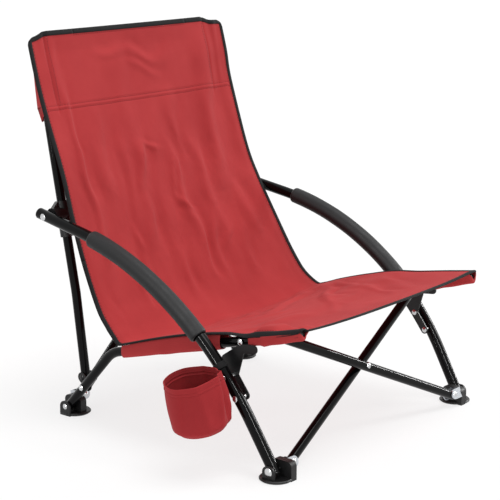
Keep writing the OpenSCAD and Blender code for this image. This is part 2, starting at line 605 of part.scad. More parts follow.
front_foot(-1);  // front_foot_left
front_foot(1);  // front_foot_right
rear_foot(-1);  // rear_foot_left
rear_foot(1);  // rear_foot_right
front_foot_bracket(-1);  // front_foot_bracket_left
front_foot_bracket(1);  // front_foot_bracket_right
rear_foot_bracket(-1);  // rear_foot_bracket_left
rear_foot_bracket(1);  // rear_foot_bracket_right
front_foot_rivets(-1);  // front_foot_rivets_left
front_foot_rivets(1);  // front_foot_rivets_right
rear_foot_rivets(-1);  // rear_foot_rivets_left
rear_foot_rivets(1);  // rear_foot_rivets_right
arm_tube(-1);  // arm_tube_left
arm_tube(1);  // arm_tube_right
arm_grip(-1);  // arm_grip_left
arm_grip(1);  // arm_grip_right
arm_end_plug(-1);  // arm_end_plug_left
arm_end_plug(1);  // arm_end_plug_right
seat_rail(-1);  // seat_rail_left
seat_rail(1);  // seat_rail_right
rail_end_cap(-1);  // rail_end_cap_left
rail_end_cap(1);  // rail_end_cap_right
arm_catch(-1);  // arm_catch_left
arm_catch(1);  // arm_catch_right
catch_pins(-1);  // catch_pins_left
catch_pins(1);  // catch_pins_right
rail_rivets(-1);  // rail_rivets_left
rail_rivets(1);  // rail_rivets_right
cross_tab(-1);  // cross_tab_left
cross_tab(1);  // cross_tab_right
back_saddle(-1);  // back_saddle_left
back_saddle(1);  // back_saddle_right
back_tube(-1);  // back_tube_left
back_tube(1);  // back_tube_right
back_top_cap(-1);  // back_top_cap_left
back_top_cap(1);  // back_top_cap_right
hub(-1);  // hub_left
hub(1);  // hub_right
hub_rivets(-1);  // hub_rivets_left
hub_rivets(1);  // hub_rivets_right
front_cross_tube(-1);  // front_cross_tube_left
front_cross_tube(1);  // front_cross_tube_right
rear_cross_tube(-1);  // rear_cross_tube_left
rear_cross_tube(1);  // rear_cross_tube_right
front_cross_rivets(-1);  // front_cross_rivets_left
front_cross_rivets(1);  // front_cross_rivets_right
rear_cross_rivets(-1);  // rear_cross_rivets_left
rear_cross_rivets(1);  // rear_cross_rivets_right
rear_cross_rivet();
sling_back();
sling_seat();
cup_holder();
cup_strap();
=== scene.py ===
import json
import math

import bpy
import numpy as np
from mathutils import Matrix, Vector, noise


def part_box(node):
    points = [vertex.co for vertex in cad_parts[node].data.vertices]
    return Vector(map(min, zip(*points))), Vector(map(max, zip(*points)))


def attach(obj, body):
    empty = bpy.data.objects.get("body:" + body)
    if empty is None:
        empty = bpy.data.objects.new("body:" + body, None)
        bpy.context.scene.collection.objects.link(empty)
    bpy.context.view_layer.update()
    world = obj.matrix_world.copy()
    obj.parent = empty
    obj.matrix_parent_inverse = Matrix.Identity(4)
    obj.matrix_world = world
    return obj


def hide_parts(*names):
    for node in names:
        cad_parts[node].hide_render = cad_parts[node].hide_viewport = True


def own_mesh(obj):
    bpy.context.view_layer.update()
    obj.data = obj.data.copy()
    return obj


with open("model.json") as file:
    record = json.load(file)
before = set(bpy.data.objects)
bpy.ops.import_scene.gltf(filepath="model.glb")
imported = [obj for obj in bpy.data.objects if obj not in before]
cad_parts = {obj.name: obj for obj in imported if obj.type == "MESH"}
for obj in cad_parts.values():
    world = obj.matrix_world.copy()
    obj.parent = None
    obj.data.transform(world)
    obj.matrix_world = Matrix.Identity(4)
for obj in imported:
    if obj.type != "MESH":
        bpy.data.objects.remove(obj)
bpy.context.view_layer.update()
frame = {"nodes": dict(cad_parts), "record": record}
print("frame loaded,", len(frame["nodes"]), "nodes")

# Sizes here are in mm: x from the chair's middle, y from the front feet, z from the ground
footLeft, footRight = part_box("front_foot_left"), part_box("front_foot_right")
middle = np.array([(footLeft[0].x + footRight[1].x) / 2, (footLeft[0].y + footLeft[1].y) / 2, 0.0])
sides = (("left", -1), ("right", 1))  # each with the sign of x there


def place(points):
    return np.asarray(points, float) / 1000 + middle


def linear(code):  # sRGB hex to the linear colour that a shader takes
    parts = [int(code[i:i + 2], 16) / 255 for i in (1, 3, 5)]
    return [p / 12.92 if p <= 0.04045 else ((p + 0.055) / 1.055) ** 2.4 for p in parts] + [1.0]


def addNode(tree, kind, settings=None, inputs=None):
    node = tree.nodes.new(kind)
    for name, value in (settings or {}).items():
        setattr(node, name, value)
    for name, value in (inputs or {}).items():
        if isinstance(value, bpy.types.NodeSocket):
            tree.links.new(value, node.inputs[name])
        else:
            node.inputs[name].default_value = value
    return node


def startMaterial(name, surface):  # a Principled surface with its plain values, ready for patterns
    material = bpy.data.materials.new(name)
    material.use_nodes = True
    tree = material.node_tree
    tree.nodes.clear()
    shader = addNode(tree, "ShaderNodeBsdfPrincipled", inputs=surface)
    addNode(tree, "ShaderNodeOutputMaterial", inputs={"Surface": shader.outputs["BSDF"]})
    return material, tree, shader


def perMetre(mm):  # how many times a pattern of that size fits in a metre
    return 1000 / mm


def overObject(tree):
    return addNode(tree, "ShaderNodeTexCoord").outputs["Object"]


def mottle(tree, where, mm, detail, rough=0.5):  # cloudy noise, its patches about that many mm wide
    inputs = {"Vector": where, "Scale": perMetre(mm), "Detail": detail, "Roughness": rough}
    return addNode(tree, "ShaderNodeTexNoise", inputs=inputs).outputs["Fac"]


def rangeOf(tree, value, fromLow, fromHigh, toLow=0.0, toHigh=1.0):
    inputs = {"Value": value, "From Min": fromLow, "From Max": fromHigh, "To Min": toLow, "To Max": toHigh}
    return addNode(tree, "ShaderNodeMapRange", inputs=inputs).outputs["Result"]


def mixColours(tree, share, first, second, blend="MIX"):  # a colour is an sRGB code or another node's output
    first, second = [linear(c) if isinstance(c, str) else c for c in (first, second)]
    settings = {"data_type": "RGBA", "blend_type": blend}
    return addNode(tree, "ShaderNodeMix", settings, {0: share, 6: first, 7: second}).outputs[2]


def wear(tree, shader, look, colour, height, patch=None):  # joins a finish's patterns to its surface
    inputs = {"Height": height, "Strength": look["bump"], "Distance": look["reliefMm"] / 1000}
    bump = addNode(tree, "ShaderNodeBump", inputs=inputs)
    tree.links.new(colour, shader.inputs["Base Color"])
    tree.links.new(bump.outputs["Normal"], shader.inputs["Normal"])
    if patch is not None:
        rough = rangeOf(tree, patch, look.get("roughFrom", 0.3), 0.7, look["roughLow"], look["roughHigh"])
        tree.links.new(rough, shader.inputs["Roughness"])


# Gloss powder coat on steel tube: deep black, a narrow bright line along each tube, faint orange peel
powderCoatLook = {"name": "powderCoatedSteel", "colour": "#050506", "worn": "#0A0A0B", "peelMm": 2.2,
                  "patchMm": 60, "roughFrom": 0.35, "roughLow": 0.07, "roughHigh": 0.14, "bump": 0.05,
                  "reliefMm": 0.3, "specular": 0.12}


def makePowderCoat(look):
    material, tree, shader = startMaterial(look["name"], {"Specular IOR Level": look["specular"]})
    where = overObject(tree)
    patch, peel = mottle(tree, where, look["patchMm"], 5.0), mottle(tree, where, look["peelMm"], 2.0)
    wear(tree, shader, look, mixColours(tree, patch, look["colour"], look["worn"]), peel, patch)
    return material


# Injection-moulded nylon with a fine spark-eroded texture: soft broad highlight, never mirror-like
mouldedNylonLook = {"name": "mouldedNylon", "colour": "#0B0B0C", "pale": "#151516", "grainMm": 1.1,
                    "patchMm": 22, "roughLow": 0.36, "roughHigh": 0.52, "bump": 0.22, "reliefMm": 0.6,
                    "specular": 0.3}
# Black oxide pressed sheet: a little brighter at worn patches than the tubes
pressedPlateLook = {"name": "blackPressedSteel", "colour": "#0B0B0C", "pale": "#171718", "grainMm": 2.5,
                    "patchMm": 15, "roughLow": 0.28, "roughHigh": 0.42, "bump": 0.10, "reliefMm": 0.6,
                    "specular": 0.3}
# Closed cell foam sleeve: charcoal, its skin finely pitted, so that it shows one broad soft highlight
foamLook = {"name": "closedCellFoam", "colour": "#0B0B0C", "pale": "#161618", "grainMm": 1.6, "patchMm": 30,
            "roughLow": 0.46, "roughHigh": 0.60, "bump": 0.35, "reliefMm": 0.6, "specular": 0.28}


def makeMottled(look):
    material, tree, shader = startMaterial(look["name"], {"Specular IOR Level": look["specular"]})
    where = overObject(tree)
    patch = mottle(tree, where, look["patchMm"], 6.0, 0.6)
    grain = mottle(tree, where, look["grainMm"], 3.0, 0.65)
    wear(tree, shader, look, mixColours(tree, grain, look["colour"], look["pale"]), grain, patch)
    return material


# Bright zinc plate on pressed steel: cool silver, soft streaks where the sheet was rolled
zincPlateLook = {"name": "zincPlatedSteel", "colour": "#D3D6DA", "dull": "#A9ADB2", "streakMm": (14, 14, 0.9),
                 "roughLow": 0.2, "roughHigh": 0.38, "bump": 0.08, "reliefMm": 0.2}
# Nickel-plated rivet heads: small, bright and round
rivetLook = {"name": "nickelPlatedRivet", "colour": "#D8D9DA", "dull": "#B4B5B6", "streakMm": (3, 3, 3),
             "roughLow": 0.14, "roughHigh": 0.26, "bump": 0.08, "reliefMm": 0.2}


def makePlated(look):
    material, tree, shader = startMaterial(look["name"], {"Metallic": 1.0})
    stretch = {"Vector": overObject(tree), "Scale": [perMetre(s) for s in look["streakMm"]]}
    scaled = addNode(tree, "ShaderNodeMapping", inputs=stretch).outputs["Vector"]
    streak = mottle(tree, scaled, 1000, 4.0)  # already scaled to the streaks, so one patch for each unit
    wear(tree, shader, look, mixColours(tree, streak, look["colour"], look["dull"]), streak, streak)
    return material


# Plain woven polyester, coated on the back: a flat, slightly dusty red whose threads catch the light as a
# fine grid. The real threads are 0.5 mm apart; they are drawn 2 mm apart so that they show
redPolyesterLook = {"name": "wovenPolyesterRed", "colour": "#B23436", "deep": "#A52B2E", "pale": "#BC3D3E",
                    "threadMm": 2.0, "fadeMm": 110, "bump": 0.16, "reliefMm": 0.5, "rough": 0.88, "sheen": 0.04}
# The same cloth for the cup in a darker copy: painted shade, since the upright cup gets less light than the
# seat
shadedCupPolyesterLook = {**redPolyesterLook, "name": "shadedCupPolyesterRed", "colour": "#A62A2E", "deep": "#982226",
                    "pale": "#B03236"}
# Grosgrain tape folded over the cloth's edge: near black, ribbed across its width
tapeLook = {"name": "grosgrainTapeBlack", "colour": "#121213", "deep": "#0C0C0D", "pale": "#1E1E1F",
            "threadMm": 1.4, "fadeMm": 60, "bump": 0.3, "reliefMm": 0.5, "rough": 0.8, "sheen": 0.03}
# Twisted polyester sewing thread: darker than the cloth and a little shinier
threadLook = {"name": "sewingThreadRed", "colour": "#8E2529", "deep": "#7A1C20", "pale": "#A5363A",
              "threadMm": 0.8, "fadeMm": 30, "bump": 0.1, "reliefMm": 0.5, "rough": 0.75, "sheen": 0.03}


def makeWoven(look):
    surface = {"Roughness": look["rough"], "Specular IOR Level": 0.15, "Sheen Weight": look["sheen"],
               "Sheen Roughness": 0.45}
    material, tree, shader = startMaterial(look["name"], surface)
    laid = addNode(tree, "ShaderNodeUVMap", {"uv_map": "cloth"}).outputs["UV"]  # metres along and across
    scale = perMetre(look["threadMm"]) * math.pi / 10  # a wave of scale 1 is pi / 10 long
    waves = {"Vector": laid, "Scale": scale, "Distortion": 0.4, "Detail": 1.0}
    warp, weft = [addNode(tree, "ShaderNodeTexWave", {"bands_direction": way, "wave_profile": "SIN"},
                          waves).outputs["Fac"] for way in "XY"]
    weave = addNode(tree, "ShaderNodeMath", {"operation": "MULTIPLY"}, {0: warp, 1: weft}).outputs["Value"]
    faded = rangeOf(tree, mottle(tree, laid, look["fadeMm"], 4.0, 0.55), 0.3, 0.7)
    held = mixColours(tree, 0.55, mixColours(tree, faded, look["deep"], look["pale"]), look["colour"])
    shade = rangeOf(tree, weave, 0.0, 1.0, 0.92, 1.04)  # the gaps between threads are a little darker
    wear(tree, shader, look, mixColours(tree, 1.0, held, shade, "MULTIPLY"), weave)
    return material


powderCoat = makePowderCoat(powderCoatLook)
mouldedNylon, pressedPlate = makeMottled(mouldedNylonLook), makeMottled(pressedPlateLook)
foamSkin = makeMottled(foamLook)
zincPlate, rivetNickel = makePlated(zincPlateLook), makePlated(rivetLook)
redPolyester, shadedCupPolyester = makeWoven(redPolyesterLook), makeWoven(shadedCupPolyesterLook)
blackTape, redThread = makeWoven(tapeLook), makeWoven(threadLook)

# Which finish each kind of CAD piece wears
finishes = {"gloss_black_tube": powderCoat, "black_plate": pressedPlate, "bright_steel": zincPlate,
            "rivet_steel": rivetNickel, "black_plastic": mouldedNylon}
for entry in frame["record"]["subparts"]:
    finish = finishes.get(entry["material_slot"])
    if finish:
        mesh = frame["nodes"][entry["node"]].data
        mesh.materials.clear()
        mesh.materials.append(finish)
print("finishes on the frame's pieces")


def makePiece(name, points, faces, material, uv=None, normals=None):  # in mm, uv on flat cloth
    mesh = bpy.data.meshes.new(name)
    mesh.from_pydata(place(points).reshape(-1, 3).tolist(), [], [list(map(int, f)) for f in faces])
    mesh.polygons.foreach_set("use_smooth", [True] * len(mesh.polygons))
    mesh.materials.append(material)
    if uv is not None:
        layer = mesh.uv_layers.new(name="cloth")
        corner = np.zeros(len(mesh.loops), np.int32)
        mesh.loops.foreach_get("vertex_index", corner)
        layer.data.foreach_set("uv", (np.asarray(uv, float)[corner] / 1000).ravel())
    if normals is not None:
        mesh.normals_split_custom_set_from_vertices([tuple(n) for n in normals])
    mesh.update()
    piece = bpy.data.objects.new(name, mesh)
    bpy.context.scene.collection.objects.link(piece)
    return piece


def gridFaces(rows, cols, flip=False, start=0):
    i, j = np.meshgrid(np.arange(rows - 1), np.arange(cols - 1), indexing="ij")
    a = (start + i * cols + j).ravel()
    quads = np.stack([a, a + cols, a + cols + 1, a + 1], axis=1)
    return quads[:, ::-1] if flip else quads


def twoLayers(outer, inner, flip=False):  # points and faces of two like grids that are closed round their rim
    shape = outer.shape[:2]
    count = shape[0] * shape[1]
    index = np.arange(count).reshape(shape)
    loop = np.concatenate([index[0], index[1:, -1], index[-1, ::-1][1:], index[::-1, 0][1:-1]])
    after = np.roll(loop, -1)
    rim = np.stack([loop, after, after + count, loop + count], axis=1)
    faces = [gridFaces(*shape, flip), gridFaces(*shape, not flip, count), rim[:, [0, 3, 2, 1]] if flip else rim]
    return np.vstack([outer.reshape(-1, 3), inner.reshape(-1, 3)]), np.vstack(faces)


def unit(v):
    return v / np.maximum(np.linalg.norm(v, axis=-1, keepdims=True), 1e-9)


def runAlong(points):  # distance from the first point to each
    return np.concatenate([[0], np.cumsum(np.linalg.norm(np.diff(points, axis=0), axis=1))])


# The sling: one red panel from the top of the back to the front of the seat, over the rails and back tubes.
# Each pair of edge points, (y, z), is at the same place along the cloth on the left and on the right
sling = {
    "halfWidth": 249, "thick": 1.3, "tape": 7.5, "sleeveSeam": {-1: 212, 1: 196}, "stripEdge": 144.5,
    "lap": 0.8,
    "leftEdge": [(545, 654), (529, 592), (511, 534), (468.5, 422), (446, 345), (419, 268), (390, 203),
        (370, 176), (357, 162), (344, 150.5), (327, 154), (270, 172), (191, 194), (107, 211),
        (58, 213), (5, 222), (-41, 238)],
    "rightEdge": [(549, 661), (532, 598), (519.5, 540), (478, 415), (448, 356), (418, 307), (385, 255),
        (362, 221), (337, 191), (306, 172), (290, 173), (250, 187), (196, 203), (128, 220),
        (75, 227), (20, 236), (-41, 245)],
    "creasePoint": 9, "pocketSeams": (535, 528), "railCorner": (365.2, 131.6), "railFront": (-34.5, 231.2),
    "backCorner": (468.3, 214.8), "backTop": (551.1, 640.8), "tubeRadius": 8, "railX": 240, "backX": 222,
    # How far it hangs between the tubes, and its rounded corners at the top and at the front
    "sag": 15, "sagEnds": 0.35, "bowHalf": 230, "bowPower": 3.2, "topDrop": 8, "topRound": 15, "frontRound": 5,
    # Depth and width of the dips along the stitches and of the ridge between the pocket's rows
    "seamDip": (1.1, 2.2), "sleeveDip": (2.2, 2.5), "ridge": (1.3, 5), "pocketStep": 1.4, "topSwell": 3.5,
    "wrinkle": 2.8, "fineWrinkle": 0.5, "hemWrinkle": 0.6,
    # Where a bracket on the rail pushes up from below, as x, mm from the front edge, reach, height
    "bumps": [(-218, 83, 27, 15.5), (-178, 58, 13, 4.0), (-226, 118, 12, 2.4), (-200, 34, 12, 2.5)],
    # Soft folds, as x and mm from the top at one end, the same at the other, then width and height
    "folds": [
        (178, 20, 150, 330, 22, 8.5), (-197, 10, -190, 400, 8, 4.6), (104, 210, 112, 400, 13, 5.0),
        (34, 230, 52, 450, 12, 5.4), (-42, 210, -66, 420, 13, 6.0), (-92, 200, -96, 360, 10, -3.6),
        (-132, 140, -142, 330, 16, 5.0), (92, 360, 80, 490, 10, 4.2), (150, 400, 140, 500, 12, 4.4),
        (60, 120, 72, 210, 13, 3.0), (-60, 60, -50, 180, 18, 2.4), (-182, 250, -188, 470, 12, 3.4),
        (-30, 205, -62, 300, 7, 3.2), (-26, 205, 4, 232, 6, 2.4), (30, 262, 22, 300, 5, 2.6),
        (44, 262, 40, 292, 5, 2.2), (20, 300, 60, 350, 6, 2.2), (56, 395, 54, 470, 6, 3.0),
        (128, 400, 104, 440, 6, 2.4), (-100, 330, -84, 400, 6, 2.4), (-90, 44, 90, 66, 13, 3.4),
        (-40, 76, 60, 92, 11, 2.2), (0, 420, -20, 500, 9, 3.2), (-120, 380, -128, 490, 10, 3.4),
        (180, 330, 196, 450, 13, 4.0), (225, 560, -60, 700, 13, 4.6), (225, 590, 20, 800, 11, 3.8),
        (215, 620, 90, 860, 10, 3.0), (-235, 640, -60, 600, 11, 3.6), (-235, 700, -20, 730, 10, 3.0),
        (-225, 770, -60, 800, 11, 2.6), (-238, 885, -120, 868, 7, 2.0), (40, 560, -120, 590, 11, 2.4),
        (200, 760, 120, 880, 13, 2.4), (60, 600, -140, 660, 9, 3.0), (130, 700, -40, 830, 9, 2.6)],
}


edge, stripEdge = sling["halfWidth"], sling["stripEdge"]


def throughPoints(points, at):  # smooth curve through the points, read at steps counted in points
    p = np.asarray(points, float)
    p = np.vstack([2 * p[0] - p[1], p, 2 * p[-1] - p[-2]])
    at = np.clip(at, 0, len(points) - 1 - 1e-9)
    i = np.floor(at).astype(int)
    t = (at - i)[..., None]
    a, b, c, d = p[i], p[i + 1], p[i + 2], p[i + 3]
    return 0.5 * (2 * b + (c - a) * t + (2 * a - 5 * b + 4 * c - d) * t ** 2 + (3 * b - a - 3 * c + d) * t ** 3)


perPoint = 200  # how finely the edge curves are read between two of their points
last = len(sling["leftEdge"]) - 1
steps = np.linspace(0, last, perPoint * last + 1)
leftFine, rightFine = throughPoints(sling["leftEdge"], steps), throughPoints(sling["rightEdge"], steps)
meanFine = (leftFine + rightFine) / 2
alongFine = runAlong(meanFine)
clothLength = alongFine[-1]
creaseAlong = alongFine[sling["creasePoint"] * perPoint]


def alongAtHeight(z):  # how far from the top the back of the sling is at that height
    upper = alongFine <= creaseAlong
    return float(np.interp(-z, -meanFine[upper, 1], alongFine[upper]))


seamAlong = [alongAtHeight(z) for z in sling["pocketSeams"]]


def betweenEdges(share, b):  # the line across the sling at b, as (y, z)
    left, right = [np.stack([np.interp(b, alongFine, curve[:, k]) for k in (0, 1)], axis=-1)
                   for curve in (leftFine, rightFine)]
    return (1 - share) * left + share * right


def smoothRise(low, high, x):
    t = np.clip((x - low) / (high - low), 0, 1)
    return t * t * (3 - 2 * t)


def softNoise(a, b, seed):  # smooth bumps about as wide as the given coordinates' unit
    points = np.stack([a.ravel(), b.ravel(), np.full(a.size, seed)], axis=1)
    return np.array([noise.noise(Vector(q)) for q in points]).reshape(a.shape)


fieldStep = 3.0


def foldField():  # heights of all folds and wrinkles on a grid over the cloth, read between its points
    across = np.arange(-edge, edge + fieldStep, fieldStep)
    a, b = np.meshgrid(across, np.arange(0, clothLength + fieldStep, fieldStep))
    total = np.zeros(a.shape)
    # folds and wrinkles wander, by up to 16 mm across and 26 mm along
    bentA, bentB = a + 16 * softNoise(a / 60, b / 70, 3.1), b + 26 * softNoise(a / 70, b / 60, 8.7)
    for a0, b0, a1, b1, width, height in sling["folds"]:
        d = np.array([a1 - a0, b1 - b0], float)
        long = np.linalg.norm(d)
        d /= long
        run = (bentA - a0) * d[0] + (bentB - b0) * d[1]
        side = (bentA - a0) * d[1] - (bentB - b0) * d[0]
        share = np.clip(run / long, 0, 1)
        ends = np.exp(-((run - share * long) / (width * 1.2)) ** 2) * (0.3 + 0.7 * np.sin(np.pi * share) ** 0.7)
        crest, trough = np.exp(-(side / width) ** 2), np.exp(-((side - 1.8 * width) / width) ** 2)
        total += height * ends * (crest - 0.4 * trough)
    # wrinkles run down the back and slantwise over the seat
    lean = smoothRise(creaseAlong - 60, creaseAlong + 60, b)
    wrinkled = softNoise(bentA / 27, bentB / 85, 1.3) * (1 - lean)
    wrinkled = wrinkled + softNoise((bentB + 0.35 * a) / 26, bentA / 110, 5.2) * lean
    busy = smoothRise(110, 260, b) * smoothRise(creaseAlong + 40, creaseAlong - 120, b)
    total += sling["wrinkle"] * wrinkled * (0.35 + busy)
    total += sling["fineWrinkle"] * softNoise(bentA / 9, bentB / 14, 2.2) * busy
    total += sling["hemWrinkle"] * softNoise(a / 14, b / 45, 7.7) * smoothRise(26, 8, b)
    still = smoothRise(0, 40, edge - np.abs(a)) * smoothRise(0, 30, clothLength - b) * smoothRise(0, 40, b)
    total = total * (0.12 + 0.88 * still)  # the taped edges keep nearly straight
    for x, fromFront, reach, height in sling["bumps"]:
        total += height * np.exp(-(((a - x) / reach) ** 4 + ((b - clothLength + fromFront) / reach) ** 4))
    return total


def foldHeight(a, b):
    u = np.clip((a + edge) / fieldStep, 0, field.shape[1] - 1.001)
    v = np.clip(b / fieldStep, 0, field.shape[0] - 1.001)
    i, j = np.floor(v).astype(int), np.floor(u).astype(int)
    s, t = v - i, u - j
    near = field[i, j] * (1 - s) + field[i + 1, j] * s
    return near * (1 - t) + (field[i, j + 1] * (1 - s) + field[i + 1, j + 1] * s) * t


field = foldField()


def withoutX(n):  # a direction (y, z) as a full one
    return np.concatenate([np.zeros(n.shape[:-1] + (1,)), n], axis=-1)


def overTube(p, n, x, low, high):  # how far the cloth is lifted along n so that it lies on a tube
    axis = unit(np.array([high[0] - low[0], high[1] - low[1]], float))
    radius = sling["tubeRadius"] + 1.6
    w = p[..., 1:] - np.array(low)
    run = w @ axis
    across = w - run[..., None] * axis
    slope = n - (n @ axis)[..., None] * axis
    side = p[..., 0] - x
    room = radius ** 2 - side ** 2
    lift = np.where(room > 0, np.sqrt(np.maximum(room, 0)) - (across * unit(slope)).sum(-1), -9)
    # rounded where the cloth leaves the tube
    soft = 1.5 * np.log1p(np.exp(np.clip(lift / 1.5, -30, 30)))
    held = smoothRise(-12, 6, run) * smoothRise(-14, 2, np.linalg.norm(np.subtract(high, low)) + 8 - run)
    return np.where(np.abs(side) < radius, soft, 0) * held


def dip(distance, depth, wide):  # a smooth bell, that deep in its middle
    return depth * np.exp(-(distance / wide) ** 2)


def clothPoint(a, b):  # a is across from the middle, b along from the top, both on the cloth
    a, b = np.broadcast_arrays(np.asarray(a, float), np.asarray(b, float))
    r = np.where(b < 100, sling["topRound"], sling["frontRound"])
    u = np.clip((np.abs(a) - edge + r) / r, 0, 1)
    v = np.clip((b - clothLength + r) / r, 0, 1) - np.clip((r - b) / r, 0, 1)
    a = a - np.sign(a) * r * u * (1 - np.sqrt(1 - v * v / 2))
    b = b - r * v * (1 - np.sqrt(1 - u * u / 2))
    seam = np.where(a < 0, sling["sleeveSeam"][-1], sling["sleeveSeam"][1])
    b = b + sling["topDrop"] * smoothRise(-4, 26, np.abs(a) - seam) * np.clip(1 - b / 90, 0, 1)
    share = ((a / edge + 1) / 2)[..., None]
    t = unit(betweenEdges(share, np.minimum(b + 4, clothLength)) - betweenEdges(share, np.maximum(b - 4, 0)))
    n = np.stack([t[..., 1], -t[..., 0]], axis=-1)
    bow = np.clip(1 - np.abs(a / sling["bowHalf"]) ** sling["bowPower"], 0, 1)
    ends = sling["sagEnds"]
    deep = sling["sag"] * (ends + (1 - ends) * np.sin(np.pi * np.clip(b / clothLength, 0, 1)) ** 2)
    rise = foldHeight(a, b) - deep * bow + sling["pocketStep"] * smoothRise(3, -3, b - seamAlong[0]) * bow
    stitched = dip(b - sum(seamAlong) / 2, *sling["ridge"])
    stitched = stitched - sum(dip(b - row, *sling["seamDip"]) for row in seamAlong)
    rise = rise + stitched * smoothRise(9, 17, edge - np.abs(a))
    rise = rise - smoothRise(18, -6, b - seamAlong[1]) * dip(np.abs(a) - seam, *sling["sleeveDip"])
    rise = rise + sling["topSwell"] * smoothRise(40, 0, b) * smoothRise(-6, 12, seam - np.abs(a))
    p = np.concatenate([a[..., None], betweenEdges(share, b) + rise[..., None] * n], axis=-1)
    lift = np.zeros(a.shape)
    for sign in (-1, 1):
        lift += overTube(p, n, sign * sling["railX"], sling["railCorner"], sling["railFront"])
        lift += overTube(p, n, sign * sling["backX"], sling["backCorner"], sling["backTop"])
    return p + lift[..., None] * withoutX(n)


def clothNormal(a, b):
    inset, reach = 5.0, 1.5
    a, b = np.clip(a, -edge + inset, edge - inset), np.clip(b, inset, clothLength - inset)
    across = clothPoint(np.minimum(a + reach, edge), b) - clothPoint(np.maximum(a - reach, -edge), b)
    along = clothPoint(a, np.minimum(b + reach, clothLength)) - clothPoint(a, np.maximum(b - reach, 0))
    return unit(np.cross(along, across))


def spread(start, end, step, extra=()):  # even steps, with closer ones at each extra place
    marks = [x + d for x in extra for d in (-4, -2, 0, 2, 4)]
    plain = np.linspace(start, end, max(2, int(round(abs(end - start) / step)) + 1))
    free = [x for x in plain if all(abs(x - m) > 1.5 for m in marks) or x in (start, end)]
    return np.array(sorted(set(free) | {m for m in marks if start < m < end}))


def shell(name, cols, rows):  # a piece of the sling with both faces and its rim
    rows = np.asarray(rows, float)  # one list for all columns, or a list for each
    b = rows if rows.ndim == 2 else np.repeat(rows[:, None], len(cols), axis=1)
    a = np.broadcast_to(cols, b.shape)
    p, n = clothPoint(a, b), clothNormal(a, b)
    points, faces = twoLayers(p + n * sling["thick"] / 2, p - n * sling["thick"] / 2)
    uv = np.tile(np.stack([a.ravel(), b.ravel()], axis=1), (2, 1))
    normals = np.vstack([n.reshape(-1, 3), -n.reshape(-1, 3)])
    return makePiece(name, points, faces, redPolyester, uv, normals)


step = 5
backRows = spread(0, creaseAlong, step, seamAlong)
seatRows = spread(creaseAlong, clothLength, step)
tubeCols = [-244, -240, -236, -232, -226, -222, -218]
inside = stripEdge - sling["lap"]  # the strips lap the middle a little
stripCols = {side: np.union1d(spread(-edge, -inside, 4.5, [-sling["sleeveSeam"][sign]]), tubeCols)
             for side, sign in sides}
stripCols["right"] = -stripCols["right"][::-1]
middleCols = spread(-stripEdge, stripEdge, step)
# When the chair is closed the seat's rear edge has swung up to the back tube, and the lower back folds flat to
# meet it there: the seat's rear edge at rest and closed, both as the back sees it, (y, z)
closing = {"left": ((340, 152.5), (457.5, 206)), "right": ((310, 169.5), (454.5, 240.5))}


def flattening(side):  # the closed place and the direction in which the lower back is pressed
    start, end = np.array(closing[side], float)
    return end, unit(end - start)


def foldLine(side, cols):  # how far along the cloth meets the plane that its lower back is pressed to
    end, towards = flattening(side)
    downwards = np.linspace(creaseAlong - 240, creaseAlong - 30, 106)
    a, b = np.meshgrid(cols, downwards)
    short = -((clothPoint(a, b)[..., 1:] - end) * towards).sum(-1)
    return np.array([np.interp(0, np.maximum.accumulate(short[:, k]), downwards) for k in range(len(cols))])


def rig(piece, key):  # key is "back" or "seat" for the loose middle, or a side and its part
    if key in ("back", "seat"):  # the middle rides with the left side's parts, with its own copy of the mesh
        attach(piece, "left_back" if key == "back" else "left_seat_side")
        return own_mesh(piece)
    side, part = key
    if part == "seat":
        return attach(piece, side + "_seat_side")
    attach(piece, side + "_back")
    if part == "lower":
        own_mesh(piece)
    return piece


panels, bend = {}, {}
for side, cols in stripCols.items():
    meets = foldLine(side, cols)
    bend[side] = float(meets[0 if side == "left" else -1])
    mean = float(meets.mean())
    upper = np.append(backRows[backRows < mean - 2], mean)[:, None]
    lower = spread(mean, creaseAlong, step)[:, None]
    rows = {"upper": upper + (meets - mean) * smoothRise(mean - 80, mean, upper),
            "lower": lower + (meets - mean) * (creaseAlong - lower) / (creaseAlong - mean), "seat": seatRows}
    for part in rows:
        panels[side, part] = shell("sling" + side.capitalize() + part.capitalize(), cols, rows[part])
panels["back"] = shell("slingMiddleBack", middleCols, backRows)
panels["seat"] = shell("slingMiddleSeat", middleCols, seatRows)
for key, piece in panels.items():
    rig(piece, key)
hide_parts("sling_back")
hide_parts("sling_seat")
print("sling panel,", round(clothLength), "mm long")


def sideRanges(side, first, last):  # the three parts of a side's cloth from first to last along it
    return {"upper": (first, bend[side]), "lower": (bend[side], creaseAlong), "seat": (creaseAlong, last)}


# Grosgrain tape folded over the edge, as (distance into the cloth, height above its face)
tapeFace = [(sling["tape"], 0.1), (sling["tape"] - 0.3, 0.9), (sling["tape"] * 0.55, 1.0), (1.2, 0.9)]
tapes = {key: [] for key in panels}


def bindEdge(key, name, a, b, inA, inB):  # a and b run along the edge, inA and inB point into the cloth
    thick = sling["thick"] / 2
    upper = [(inward, thick + height) for inward, height in tapeFace] + [(-0.9, thick * 0.9)]
    profile = upper + [(-1.5, 0)] + [(inward, -height) for inward, height in upper[::-1]]
    out = unit(clothPoint(a, b) - clothPoint(a + 2 * inA, b + 2 * inB))
    points = []
    for inward, height in profile:
        reach = max(inward, 0)
        p, n = clothPoint(a + reach * inA, b + reach * inB), clothNormal(a + reach * inA, b + reach * inB)
        points.append(p + n * height + out * max(-inward, 0))
    points = np.stack(points, axis=1)
    rows, cols = points.shape[:2]
    uv = np.stack([np.repeat(runAlong(points[:, 0]), cols), np.tile(np.arange(cols) * 1.5, rows)], axis=1)
    faces = [*gridFaces(rows, cols), range(cols), range((rows - 1) * cols, rows * cols)[::-1]]
    piece = makePiece(name, points, faces, blackTape, uv)
    tapes[key].append(rig(piece, key))


